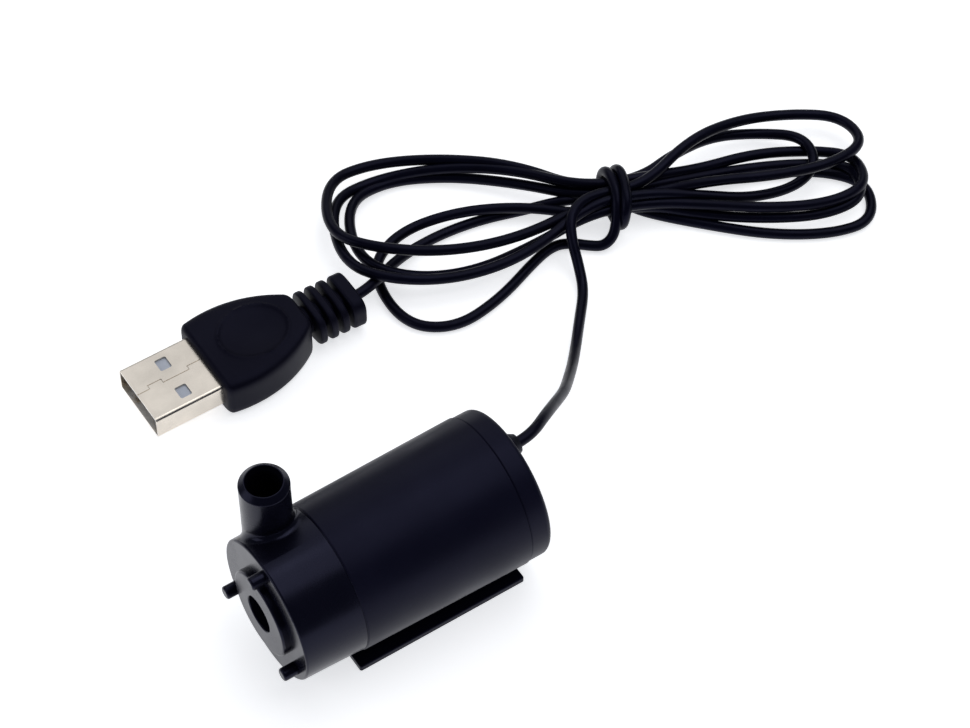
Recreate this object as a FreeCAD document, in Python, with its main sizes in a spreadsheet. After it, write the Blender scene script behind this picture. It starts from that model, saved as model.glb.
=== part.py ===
"""Mini submersible fountain pump: motor, impeller and head, with its tied USB lead and plug.

X runs along the motor shaft, with the inlet facing -X. Z is up, and the pump stands on z = 0.
Distances named "behind" are measured backwards from the head's front face.
"""

import FreeCAD, Part
import Sketcher
import math
import os
import re

doc = FreeCAD.newDocument("fountain_pump")

# ---------------------------------------------------------------------------
# Driving dimensions, in millimetres and degrees
# ---------------------------------------------------------------------------

SIZES = {
    # whole pump
    "pump_length": 42.2,          # front face to rear face
    "axis_height": 13.2,          # shaft axis above the ground
    # head
    "head_front_radius": 11.5,
    "head_rear_radius": 11.75,
    "head_length": 10.1,
    "head_wall": 2.0,
    "boss_radius": 7.0,           # raised inlet boss
    "boss_reach": 1.2,
    "inlet_radius": 3.0,
    "pin_radius": 1.05,           # three standing pins around the inlet
    "pin_reach": 2.4,
    "pin_circle": 9.4,
    "pin_turn": 93.0,
    "chamber_radius": 9.2,        # pumping chamber
    "chamber_end": 7.7,
    "nozzle_behind": 5.3,         # outlet spigot, tangent to the far side
    "nozzle_offset": 7.3,
    "nozzle_top": 33.0,
    "nozzle_radius": 3.8,         # straight stretch that a hose grips
    "nozzle_grip": 25.6,          # where the straight stretch starts
    "nozzle_draft": 0.15,         # how much wider the nozzle is at its root
    "nozzle_bore": 2.5,
    "nozzle_flare": 0.3,          # how much wider the bore's mouth is
    "nozzle_rim": 0.45,           # flat rim around the bore
    "nozzle_bevel": 0.8,
    "throat_radius": 2.2,         # below the bore's shoulder, into the chamber
    "throat_top": 21.4,
    "nozzle_root_round": 1.0,
    "edge_round": 0.35,           # moulded edges
    "rim_round": 0.2,             # rims of the inlet, the nozzle and the plate
    # housing
    "spigot_start": 7.9,          # the housing's spigot fits into the head
    "spigot_radius": 10.2,
    "spigot_gap": 0.05,
    "groove_start": 8.5,
    "groove_width": 1.3,
    "groove_radius": 9.0,
    "ring_section": 0.6,          # O-ring, half its thickness
    "housing_front_radius": 11.9,
    "housing_rear_radius": 12.3,
    "housing_end": 38.4,
    "motor_bore": 10.0,
    "motor_seat": 12.4,
    "plate_front": 10.0,          # base plate under the housing
    "plate_rear": 39.2,
    "plate_width": 18.5,
    "plate_thick": 1.0,
    "web_width": 10.0,
    # shaft seal, in the wall between chamber and motor
    "seal_pocket_radius": 3.0,
    "seal_pocket_end": 10.5,
    "seal_front": 8.6,
    "retainer_rear": 8.5,
    "retainer_hole": 1.6,
    "seal_lip": 0.5,
    "seal_relief": 0.6,
    "shaft_passage": 1.2,
    # rear cap and cable gland
    "cap_radius": 12.15,
    "cap_floor": 40.7,
    "cap_cavity": 9.4,
    "cap_lip_start": 37.4,
    "cap_round": 0.9,
    "gland_height": 8.3,          # above the shaft axis
    "gland_hole": 1.5,
    "gland_radius": 2.0,
    "gland_tip_radius": 1.5,
    "gland_reach": 1.6,
    "gland_collar": 0.6,
    "jacket_inside": 0.6,         # cable jacket that shows inside the cap
    # motor
    "play": 0.05,                 # clearance between pieces that don't touch
    "running_fit": 0.03,          # clearance around what turns
    "over": 1.0,                  # how far a cutting tool runs past what it cuts
    "can_radius": 9.9,
    "can_wall": 0.6,
    "can_rear": 34.6,
    "can_boss_radius": 3.1,
    "can_boss_reach": 1.2,
    "bearing_radius": 2.25,
    "shaft_radius": 1.0,
    "shaft_front": 4.2,
    "shaft_rear": 35.9,
    "magnet_inner": 7.4,
    "magnet_outer": 9.25,
    "magnet_front": 14.6,
    "magnet_length": 14.0,
    "magnet_arc": 130.0,
    "core_radius": 7.0,
    "core_front": 16.0,
    "core_length": 11.0,
    "core_hub": 2.6,
    "tooth_width": 2.4,
    "shoe_thick": 1.3,
    "shoe_gap": 1.6,
    "coil_thick": 1.5,
    "coil_inner": 2.9,
    "coil_outer": 4.9,
    "commutator_radius": 2.3,
    "commutator_front": 29.2,
    "commutator_length": 3.2,
    "sleeve_collar": 0.8,
    "bar_thick": 0.35,
    "bar_gap": 0.3,
    "bell_front": 33.0,
    "bell_flange_rear": 35.4,
    "bell_boss_radius": 3.2,
    "bell_boss_rear": 36.2,
    "terminal_offset": 6.2,
    "terminal_thick": 0.4,
    "terminal_width": 2.0,
    "terminal_rear": 37.7,
    "carbon_size": 1.6,
    "carbon_length": 1.5,
    "arm_thick": 0.2,
    "potting_front": 36.25,
    "potting_rear": 37.35,
    "wire_radius": 0.45,
    "washer_radius": 2.0,
    "washer_thick": 0.4,
    "spacer_radius": 1.8,
    # impeller
    "impeller_front": 3.2,
    "impeller_disc_front": 6.3,
    "impeller_rear": 7.3,
    "impeller_radius": 7.9,
    "impeller_hub": 2.3,
    "vane_thick": 0.9,
    "vane_root": 0.3,             # how far a vane runs into the hub and the disc
    "vane_inset": 0.1,
    # plug
    "plug_front": -15.1,          # front end of the metal shell
    "plug_side": 49.4,
    "plug_middle": 3.9,           # height of the plug's middle
    "shell_width": 12.0,
    "shell_height": 4.5,
    "shell_length": 18.6,
    "shell_shown": 11.9,
    "shell_wall": 0.3,
    "shell_round": 0.6,
    "window_front": 5.4,
    "window_length": 2.0,
    "window_width": 2.4,
    "window_offset": 3.2,
    "window_round": 0.3,
    "seam_width": 0.14,
    "seam_depth": 0.15,
    "tongue_width": 11.3,
    "tongue_thick": 1.8,
    "contact_width": 1.0,
    "power_start": 1.0,
    "data_start": 2.0,
    "contact_thick": 0.25,
    "mould_length": 18.0,
    "mould_thick": 7.7,
    "mould_widest": 8.4,          # half the greatest width
    "mould_widest_at": 5.0,
    "mould_side_radius": 20.0,
    "mould_round": 0.8,
    "core_block_length": 4.0,
    "tongue_start": 0.5,
    "contact_tail": 1.5,
    "tail_room_width": 4.1,
    "tail_room_below": 0.3,
    "tail_room_above": 0.6,
    "core_block_inset": 1.0,
    "dish_radius": 6.0,
    "dish_at": 9.4,
    "dish_depth": 0.5,
    "relief_core_radius": 2.5,
    "rib_first": 19.6,
    "rib_pitch": 2.3,
    "rib_thick": 1.1,
    "rib_width": 9.4,
    "rib_height": 6.6,
    "rib_round": 2.4,
    "block_front": 25.6,
    "block_length": 3.9,
    "block_width": 9.0,
    # cord
    "cord_radius": 0.9,
    "hank_height": 8.8,
    "waist_along": 71.8,          # middle of the tied hank
    "waist_side": 43.5,
    "waist_radius": 5.4,
}

sizes = doc.addObject("Spreadsheet::Sheet", "Sizes")
for row, (name, number) in enumerate(SIZES.items(), start=1):
    sizes.set(f"A{row}", name)
    sizes.set(f"B{row}", str(number))
    sizes.setAlias(f"B{row}", name)
doc.recompute()

CLOSE = 0.01         # how nearly two lengths agree
PINS = 3
VANES = 6
POLES = 3
RIBS = 3
# Each contact of the plug: how far it is from the middle, and where it starts
CONTACTS = ((-3.5, "power_start"), (-1.0, "data_start"), (1.0, "data_start"), (3.5, "power_start"))

# Each straight run of the seam: where it starts and ends along the shell, and how far it is from the middle
SEAM = ((-1, 2.2, 0.0), (2.2, 4.6, 0.75), (4.6, 9.3, 0.0), (9.3, 13.0, 0.75))

# Where the front face stands along X when the whole pump is centred on the origin
FRONT = "(pin_reach - pump_length - gland_reach) / 2"
FRONT_NUMBER = (SIZES["pin_reach"] - SIZES["pump_length"] - SIZES["gland_reach"]) / 2
AXIS = "axis_height"

# ---------------------------------------------------------------------------
# Helpers
# ---------------------------------------------------------------------------

nodes = {}


def sized(expression):
    """Write an expression of plain size names as one that reads the sheet."""
    def from_sheet(match):
        word = match.group(0)
        return "Sizes." + word if word in SIZES else word
    return re.sub(r"[a-z_]+", from_sheet, expression)


def bind(thing, **expressions):
    for name, expression in expressions.items():
        thing.setExpression(name, sized(expression))
    return thing


def place(thing, along="0", side="0", up="0"):
    """Stand a thing at a place measured from the front face, the shaft's plane and the ground."""
    thing.setExpression("Placement.Base.x", sized(f"{FRONT} + {along}"))
    thing.setExpression("Placement.Base.y", sized(side))
    thing.setExpression("Placement.Base.z", sized(up))
    return thing


def aim(thing, axis, degrees):
    """Turn a primitive about a direction."""
    thing.Placement = FreeCAD.Placement(FreeCAD.Vector(), FreeCAD.Rotation(FreeCAD.Vector(*axis), degrees))
    return thing


def keep(label, thing):
    """Give a finished sub-part its name."""
    thing.Label = label
    nodes[label] = thing
    return thing


def turned(name, outline, up=AXIS, along="0", side="0", upright=False):
    """A solid turned about X, or about Z when upright, from (distance along the axis, radius) points."""
    body = doc.addObject("PartDesign::Body", name)
    sketch = body.newObject("Sketcher::SketchObject", name + "_outline")
    plane = next(item for item in body.Origin.OriginFeatures if item.Role == "XZ_Plane")
    sketch.AttachmentSupport = [(plane, "")]
    sketch.MapMode = "FlatFace"
    count = len(outline)
    guesses = []
    for index in range(count):
        angle = 2 * math.pi * index / count
        guesses.append(FreeCAD.Vector(math.cos(angle), math.sin(angle) + 2, 0))
    for index in range(count):
        sketch.addGeometry(Part.LineSegment(guesses[index], guesses[(index + 1) % count]), False)
    for index in range(count):
        sketch.addConstraint(Sketcher.Constraint("Coincident", index, 2, (index + 1) % count, 1))
    for index, (distance, radius) in enumerate(outline):
        across, high = (radius, distance) if upright else (distance, radius)
        for kind, expression, axis in (("DistanceX", across, -2), ("DistanceY", high, -1)):
            if expression == "0":
                sketch.addConstraint(Sketcher.Constraint("PointOnObject", index, 1, axis))
                continue
            number = sketch.addConstraint(Sketcher.Constraint(kind, -1, 1, index, 1, 1.0))
            sketch.setExpression(f"Constraints[{number}]", sized(expression))
    revolution = body.newObject("PartDesign::Revolution", name + "_turned")
    revolution.Profile = sketch
    revolution.ReferenceAxis = (sketch, ["V_Axis" if upright else "H_Axis"])
    revolution.Angle = 360
    body.Tip = revolution
    return place(body, along, side, up)


def rod(name, radius, start, end, side="0", up=AXIS):
    """A cylinder along X between two distances behind the front face."""
    cylinder = aim(doc.addObject("Part::Cylinder", name), (0, 1, 0), 90)
    bind(cylinder, Radius=radius, Height=f"({end}) - ({start})")
    return place(cylinder, start, side, up)


def block(name, low, high):
    """A box between two corners, each (behind the front face, side, height)."""
    box = doc.addObject("Part::Box", name)
    bind(
        box,
        Length=f"({high[0]}) - ({low[0]})",
        Width=f"({high[1]}) - ({low[1]})",
        Height=f"({high[2]}) - ({low[2]})",
    )
    return place(box, low[0], low[1], low[2])


def ring(label, inner, outer, start, end):
    """A bush or washer around the shaft's axis."""
    return keep(label, cut(label + "_solid", rod(label + "_outside", outer, start, end),
                           rod(label + "_hole", inner, f"{start} - over", f"{end} + over")))


def fuse(name, *pieces):
    joined = doc.addObject("Part::MultiFuse", name)
    joined.Shapes = list(pieces)
    joined.Refine = True
    return joined


def group(name, *pieces):
    """Separate solids that share one node."""
    gathered = doc.addObject("Part::Compound", name)
    gathered.Links = list(pieces)
    return gathered


def cut(name, base, *tools):
    """A base less one or more tools."""
    result = doc.addObject("Part::Cut", name)
    result.Base = base
    result.Tool = tools[0] if len(tools) == 1 else fuse(name + "_tools", *tools)
    result.Refine = True
    return result


def rounded(name, base, choices):
    """Fillet the edges that each (radius name, test) pair picks."""
    doc.recompute()
    edges = []
    for number, edge in enumerate(base.Shape.Edges, start=1):
        for size, test in choices:
            if test(edge):
                edges.append((number, SIZES[size], SIZES[size]))
                break
    fillet = doc.addObject("Part::Fillet", name)
    fillet.Base = base
    fillet.Edges = edges
    return fillet


def is_ring(edge, radius, along):
    """Whether an edge is the circle of this radius around the shaft's axis, this far behind the face."""
    if not isinstance(edge.Curve, Part.Circle):
        return False
    centre = edge.Curve.Center
    on_axis = abs(centre.y) < CLOSE and abs(centre.z - SIZES["axis_height"]) < CLOSE
    here = abs(centre.x - FRONT_NUMBER - along) < CLOSE
    return on_axis and here and abs(edge.Curve.Radius - radius) < CLOSE


# ---------------------------------------------------------------------------
# Pump head: casing with inlet boss, standing pins and tangential outlet
# ---------------------------------------------------------------------------


def make_head():
    outside = turned("head_outside", [
        ("-boss_reach", "0"), ("-boss_reach", "boss_radius"), ("0", "boss_radius"),
        ("0", "head_front_radius"), ("head_length", "head_rear_radius"), ("head_length", "0"),
    ])
    nozzle = turned("nozzle_outside", [
        ("axis_height", "0"), ("axis_height", "nozzle_radius + nozzle_draft"),
        ("nozzle_grip", "nozzle_radius"), ("nozzle_top - nozzle_bevel", "nozzle_radius"),
        ("nozzle_top", "nozzle_bore + nozzle_rim"), ("nozzle_top", "0"),
    ], up="0", along="nozzle_behind", side="nozzle_offset", upright=True)
    casing = rounded("head_rounded", fuse("head_casing", outside, nozzle), [
        ("edge_round", lambda edge: is_ring(edge, SIZES["head_front_radius"], 0)),
        ("nozzle_root_round", is_nozzle_root),
    ])
    pins = []
    for number in range(PINS):
        angle = f"pin_turn + {number * 360 / PINS}"
        pin = rod(f"pin_{number + 1}", "pin_radius", "-pin_reach", "head_wall / 2",
                  side=f"pin_circle * cos(({angle}) * 1deg)",
                  up=f"axis_height + pin_circle * sin(({angle}) * 1deg)")
        pins.append(pin)
    cavity = turned("head_cavity", [
        ("-boss_reach - over", "0"), ("-boss_reach - over", "inlet_radius"), ("head_wall", "inlet_radius"),
        ("head_wall", "chamber_radius"), ("chamber_end", "chamber_radius"),
        ("chamber_end", "spigot_radius + spigot_gap"),
        ("head_length + over", "spigot_radius + spigot_gap"),
        ("head_length + over", "0"),
    ])
    outlet = turned("outlet_bore", [
        ("axis_height", "0"), ("axis_height", "throat_radius"), ("throat_top", "throat_radius"),
        ("throat_top", "nozzle_bore"), ("nozzle_top - over", "nozzle_bore"),
        ("nozzle_top", "nozzle_bore + nozzle_flare"), ("nozzle_top + over", "nozzle_bore + nozzle_flare"),
        ("nozzle_top + over", "0"),
    ], up="0", along="nozzle_behind", side="nozzle_offset", upright=True)
    sharp = cut("head_sharp", fuse("head_with_pins", casing, *pins), cavity, outlet)
    keep("pump_head", rounded("head", sharp, [
        ("edge_round", lambda edge: is_ring(edge, SIZES["boss_radius"], -SIZES["boss_reach"])),
        ("rim_round", lambda edge: is_ring(edge, SIZES["inlet_radius"], -SIZES["boss_reach"])),
        ("edge_round", is_pin_tip),
        ("rim_round", is_nozzle_bevel),
    ]))


def is_pin_tip(edge):
    """Whether an edge is the circle at the free end of a standing pin."""
    if not isinstance(edge.Curve, Part.Circle):
        return False
    at_tip = abs(edge.Curve.Center.x - FRONT_NUMBER + SIZES["pin_reach"]) < CLOSE
    return at_tip and abs(edge.Curve.Radius - SIZES["pin_radius"]) < CLOSE


def is_nozzle_bevel(edge):
    """Whether an edge is the circle where the nozzle's bevel starts."""
    if not isinstance(edge.Curve, Part.Circle):
        return False
    at_bevel = abs(edge.Curve.Center.z - SIZES["nozzle_top"] + SIZES["nozzle_bevel"]) < CLOSE
    return at_bevel and abs(edge.Curve.Radius - SIZES["nozzle_radius"]) < CLOSE


def is_nozzle_root(edge):
    """Whether an edge is the line where the tapered nozzle meets the head's round side."""
    if isinstance(edge.Curve, (Part.Circle, Part.Line)):
        return False
    widest = SIZES["nozzle_radius"] + SIZES["nozzle_draft"]
    for point in edge.discretize(5):
        from_nozzle = math.hypot(point.x - FRONT_NUMBER - SIZES["nozzle_behind"],
                                 point.y - SIZES["nozzle_offset"])
        if not SIZES["nozzle_radius"] - CLOSE < from_nozzle < widest + CLOSE:
            return False
    return True


# ---------------------------------------------------------------------------
# Motor housing with its base plate, and what seals it
# ---------------------------------------------------------------------------


def make_housing():
    outside = turned("housing_outside", [
        ("spigot_start", "0"), ("spigot_start", "spigot_radius"), ("groove_start", "spigot_radius"),
        ("groove_start", "groove_radius"), ("groove_start + groove_width", "groove_radius"),
        ("groove_start + groove_width", "spigot_radius"), ("head_length", "spigot_radius"),
        ("head_length", "housing_front_radius"), ("housing_end", "housing_rear_radius"),
        ("housing_end", "0"),
    ])
    eased = rounded("housing_rounded", outside, [
        ("edge_round", lambda edge: is_ring(edge, SIZES["housing_front_radius"], SIZES["head_length"])),
    ])
    plate = block("plate", ("plate_front", "-plate_width / 2", "0"),
                  ("plate_rear", "plate_width / 2", "plate_thick"))
    plate_eased = rounded("plate_rounded", plate, [
        ("edge_round", lambda edge: abs(edge.BoundBox.ZLength - SIZES["plate_thick"]) < CLOSE),
        ("rim_round", lambda edge: edge.BoundBox.ZMin > SIZES["plate_thick"] / 2),
    ])
    web = block("plate_web", ("head_length", "-web_width / 2", "plate_thick / 2"),
                ("housing_end", "web_width / 2", "axis_height / 2"))
    cavity = turned("housing_cavity", [
        ("spigot_start - over", "0"), ("spigot_start - over", "seal_pocket_radius"),
        ("seal_pocket_end", "seal_pocket_radius"), ("seal_pocket_end", "shaft_passage"),
        ("motor_seat - can_boss_reach - play", "shaft_passage"),
        ("motor_seat - can_boss_reach - play", "can_boss_radius + play"),
        ("motor_seat", "can_boss_radius + play"), ("motor_seat", "motor_bore"),
        ("housing_end + over", "motor_bore"), ("housing_end + over", "0"),
    ])
    keep("motor_housing", cut("housing", fuse("housing_solid", eased, plate_eased, web), cavity))


def make_seals():
    o_ring = aim(doc.addObject("Part::Torus", "o_ring"), (0, 1, 0), 90)
    bind(o_ring, Radius1="groove_radius + ring_section + play / 2", Radius2="ring_section")
    keep("head_o_ring", place(o_ring, "groove_start + groove_width / 2", "0", AXIS))
    keep("shaft_seal", turned("shaft_seal_ring", [
        ("seal_front", "shaft_radius + seal_relief"), ("seal_front", "seal_pocket_radius - play"),
        ("seal_pocket_end", "seal_pocket_radius - play"), ("seal_pocket_end", "shaft_radius + play"),
        ("seal_pocket_end - seal_lip", "shaft_radius + play"),
    ]))
    ring("seal_retainer", "retainer_hole", "seal_pocket_radius - play", "spigot_start", "retainer_rear")


def make_rear():
    cap = turned("cap_solid", [
        ("cap_lip_start", "cap_cavity"), ("cap_lip_start", "motor_bore - play"),
        ("housing_end", "motor_bore - play"), ("housing_end", "cap_radius"),
        ("pump_length", "cap_radius"), ("pump_length", "0"), ("cap_floor", "0"), ("cap_floor", "cap_cavity"),
    ])
    eased = rounded("cap_rounded", cap, [
        ("cap_round", lambda edge: is_ring(edge, SIZES["cap_radius"], SIZES["pump_length"])),
        ("edge_round", lambda edge: is_ring(edge, SIZES["cap_radius"], SIZES["housing_end"])),
    ])
    hole = rod("gland_hole_tool", "gland_hole", "cap_floor - over", "pump_length + over",
               up="axis_height + gland_height")
    keep("rear_cap", cut("rear_cap_drilled", eased, hole))
    keep("cable_gland", turned("gland_sleeve", [
        ("cap_floor", "cord_radius + play / 2"), ("cap_floor", "gland_hole - play / 2"),
        ("pump_length", "gland_hole - play / 2"), ("pump_length", "gland_radius"),
        ("pump_length + gland_collar", "gland_radius"), ("pump_length + gland_reach", "gland_tip_radius"),
        ("pump_length + gland_reach", "cord_radius + play / 2"),
    ], up="axis_height + gland_height"))
    keep("inner_cable", rod("inner_cable_end", "cord_radius", "cap_floor - jacket_inside",
                            "pump_length + gland_reach", up="axis_height + gland_height"))


# ---------------------------------------------------------------------------
# Motor: what stands still
# ---------------------------------------------------------------------------


def make_stator():
    keep("motor_can", turned("can", [
        ("motor_seat - can_boss_reach", "bearing_radius + play / 2"),
        ("motor_seat - can_boss_reach", "can_boss_radius"), ("motor_seat", "can_boss_radius"),
        ("motor_seat", "can_radius"), ("can_rear", "can_radius"), ("can_rear", "can_radius - can_wall"),
        ("motor_seat + can_wall", "can_radius - can_wall"),
        ("motor_seat + can_wall", "bearing_radius + play / 2"),
    ]))
    ring("front_bearing", "shaft_radius + running_fit", "bearing_radius", "motor_seat - can_boss_reach",
         "motor_seat + can_wall")
    for label, side in (("magnet_upper", 1), ("magnet_lower", -1)):
        arc = aim(doc.addObject("Part::Cylinder", label + "_arc"), (0, 1, 0), 90)
        turn = FreeCAD.Rotation(FreeCAD.Vector(1, 0, 0), side * 90)
        start = FreeCAD.Rotation(FreeCAD.Vector(1, 0, 0), -SIZES["magnet_arc"] / 2)
        flat = FreeCAD.Rotation(FreeCAD.Vector(0, 0, 1), FreeCAD.Vector(1, 0, 0))
        across = FreeCAD.Rotation(FreeCAD.Vector(1, 0, 0), 90)
        arc.Placement = FreeCAD.Placement(FreeCAD.Vector(), turn * start * across * flat)
        bind(arc, Radius="magnet_outer", Height="magnet_length", Angle="magnet_arc")
        place(arc, "magnet_front", "0", AXIS)
        bore = rod(label + "_bore", "magnet_inner", "magnet_front - over",
                   "magnet_front + magnet_length + over")
        keep(label, cut(label + "_solid", arc, bore))


def make_rear_of_motor():
    bell = turned("bell", [
        ("bell_front", "bearing_radius + play / 2"), ("bell_front", "can_radius - can_wall - play"),
        ("can_rear", "can_radius - can_wall - play"), ("can_rear", "can_radius"),
        ("bell_flange_rear", "can_radius"), ("bell_flange_rear", "bell_boss_radius"),
        ("bell_boss_rear", "bell_boss_radius"), ("bell_boss_rear", "bearing_radius + play / 2"),
    ])
    potting = rod("potting_disc", "motor_bore - play", "potting_front", "potting_rear")
    bell_slots = []
    potting_slots = []
    for label, side in (("right", -1), ("left", 1)):
        edge = (f"{side} * terminal_offset - terminal_thick / 2",
                f"{side} * terminal_offset + terminal_thick / 2")
        tab = block(f"terminal_{label}_tab",
                    ("bell_front", edge[0], "axis_height - terminal_width / 2"),
                    ("terminal_rear", edge[1], "axis_height + terminal_width / 2"))
        keep(f"terminal_{label}", tab)
        for slots, start, end in ((bell_slots, "bell_front - over", "bell_flange_rear + over"),
                                  (potting_slots, "potting_front - over", "potting_rear + over")):
            low = (start, edge[0] + " - play / 2", "axis_height - terminal_width / 2 - play / 2")
            high = (end, edge[1] + " + play / 2", "axis_height + terminal_width / 2 + play / 2")
            slots.append(block(f"slot_{label}_{start.split('_')[0]}", low, high))
        make_brush(label, side)
    keep("motor_end_bell", cut("bell_slotted", bell, *bell_slots))
    keep("potting_seal", cut("potting_slotted", potting, *potting_slots))
    ring("rear_bearing", "shaft_radius + running_fit", "bearing_radius", "bell_front", "bell_boss_rear")


def make_brush(label, side):
    """A carbon block on a springy copper arm, pressed on the commutator from one side."""
    carbon_middle = "commutator_front + commutator_length / 2"
    face = "commutator_radius + bar_thick + running_fit"

    def across(near, far):
        return (near, far) if side > 0 else (f"-({far})", f"-({near})")

    near, far = across(face, f"{face} + carbon_length")
    carbon = block(f"carbon_{label}",
                   (f"{carbon_middle} - carbon_size / 2", near, "axis_height - carbon_size / 2"),
                   (f"{carbon_middle} + carbon_size / 2", far, "axis_height + carbon_size / 2"))
    near, far = across(f"{face} + carbon_length", f"{face} + carbon_length + arm_thick")
    arm = block(f"arm_{label}",
                (f"{carbon_middle} - carbon_size / 2", near, "axis_height - terminal_width / 2"),
                ("bell_front", far, "axis_height + terminal_width / 2"))
    near, far = across(f"{face} + carbon_length", "terminal_offset + terminal_thick / 2")
    foot = block(f"foot_{label}",
                 ("bell_front - arm_thick", near, "axis_height - terminal_width / 2"),
                 ("bell_front", far, "axis_height + terminal_width / 2"))
    keep(f"brush_{label}", fuse(f"brush_{label}_solid", carbon, arm, foot))


# ---------------------------------------------------------------------------
# Rotor: shaft, armature, commutator and impeller
# ---------------------------------------------------------------------------


def make_rotor():
    keep("motor_shaft", rod("shaft", "shaft_radius", "shaft_front", "shaft_rear"))
    core_end = "core_front + core_length"
    hub = rod("core_hub_solid", "core_hub", "core_front", core_end)
    rim = cut("core_rim", rod("core_outside", "core_radius", "core_front", core_end),
              rod("core_inside", "core_radius - shoe_thick", "core_front - over", f"{core_end} + over"))
    teeth = []
    gaps = []
    coils = []
    for number in range(POLES):
        angle = number * 360 / POLES
        teeth.append(spoke(f"tooth_{number + 1}", angle, "core_front", core_end, "0",
                           "core_radius - shoe_thick / 2", "tooth_width"))
        gaps.append(spoke(f"shoe_gap_{number + 1}", angle + 180 / POLES, "core_front - over",
                          f"{core_end} + over", "core_hub + over", "core_radius + over", "shoe_gap"))
        wound = spoke(f"coil_{number + 1}_outside", angle, "core_front - coil_thick",
                      f"{core_end} + coil_thick", "coil_inner", "coil_outer", "tooth_width + 2 * coil_thick")
        window = spoke(f"coil_{number + 1}_inside", angle, "core_front - play / 2", f"{core_end} + play / 2",
                       "coil_inner - over", "coil_outer + over", "tooth_width + play")
        coils.append(cut(f"coil_{number + 1}", wound, window))
    stack = cut("core_stack", fuse("core_solid", hub, cut("core_shoes", rim, *gaps), *teeth),
                rod("core_bore", "shaft_radius", "core_front - over", f"{core_end} + over"))
    keep("rotor_core", stack)
    keep("rotor_windings", group("windings", *coils))
    sleeve_end = "commutator_front + commutator_length"
    ring("commutator_sleeve", "shaft_radius", "commutator_radius", "commutator_front - sleeve_collar",
         sleeve_end)
    copper = cut("bars_ring",
                 rod("bars_outside", "commutator_radius + bar_thick", "commutator_front", sleeve_end),
                 rod("bars_inside", "commutator_radius", "commutator_front - over", f"{sleeve_end} + over"))
    splits = []
    for number in range(POLES):
        angle = (number * 360 + 90) / POLES
        splits.append(spoke(f"bar_split_{number + 1}", angle, "commutator_front - over",
                            f"{sleeve_end} + over", "shaft_radius", "commutator_radius + over", "bar_gap"))
    keep("commutator_bars", cut("bars", copper, *splits))
    washers = []
    starts = {"front": "motor_seat + can_wall + play", "rear": "bell_front - washer_thick - play"}
    for name, start in starts.items():
        washers.append(cut(f"washer_{name}", rod(f"washer_{name}_outside", "washer_radius", start,
                                                    f"{start} + washer_thick"),
                           rod(f"washer_{name}_hole", "shaft_radius", f"{start} - over", f"{start} + over")))
    keep("thrust_washers", group("washers", *washers))
    ring("rotor_spacer", "shaft_radius", "spacer_radius", "motor_seat + can_wall + play + washer_thick",
         "core_front - coil_thick")


def spoke(name, angle, start, end, inner, outer, width):
    """A bar that stands out from the shaft's axis at an angle to +Y, seen from the front."""
    bar = doc.addObject("Part::Box", name)
    bind(bar, Length=f"({end}) - ({start})", Width=f"({outer}) - ({inner})", Height=width)
    bar.Placement = FreeCAD.Placement(FreeCAD.Vector(), FreeCAD.Rotation(FreeCAD.Vector(1, 0, 0), angle))
    turned_inner = f"({inner}) * cos({angle} * 1deg) + ({width}) / 2 * sin({angle} * 1deg)"
    raised_inner = f"({inner}) * sin({angle} * 1deg) - ({width}) / 2 * cos({angle} * 1deg)"
    return place(bar, start, turned_inner, f"axis_height + {raised_inner}")


def make_impeller():
    disc = rod("impeller_disc", "impeller_radius", "impeller_disc_front", "impeller_rear")
    hub = rod("impeller_hub_solid", "impeller_hub", "impeller_front", "impeller_rear")
    vanes = []
    for number in range(VANES):
        vanes.append(spoke(f"vane_{number + 1}", number * 360 / VANES, "impeller_front",
                           "impeller_disc_front + vane_root", "impeller_hub - vane_root",
                           "impeller_radius - vane_inset", "vane_thick"))
    bore = rod("impeller_bore", "shaft_radius", "shaft_front", "impeller_rear + over")
    keep("impeller", cut("impeller_drilled", fuse("impeller_solid", disc, hub, *vanes), bore))


# ---------------------------------------------------------------------------
# USB plug at the far end of the lead
# ---------------------------------------------------------------------------

PLUG = "plug_front - (" + FRONT + ")"


def plug_block(name, low, high):
    """A box measured from the plug's front end, its middle line and its middle height."""
    return block(name, tuple(f"({base}) + {value}" for base, value in
                             zip((PLUG, "plug_side", "plug_middle"), low)),
                 tuple(f"({base}) + {value}" for base, value in
                       zip((PLUG, "plug_side", "plug_middle"), high)))


def runs_along(edge, length_name):
    """Whether an edge lies along X for the whole of a named length."""
    box = edge.BoundBox
    return abs(box.XLength - SIZES[length_name]) < CLOSE and box.YLength < CLOSE and box.ZLength < CLOSE


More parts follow.
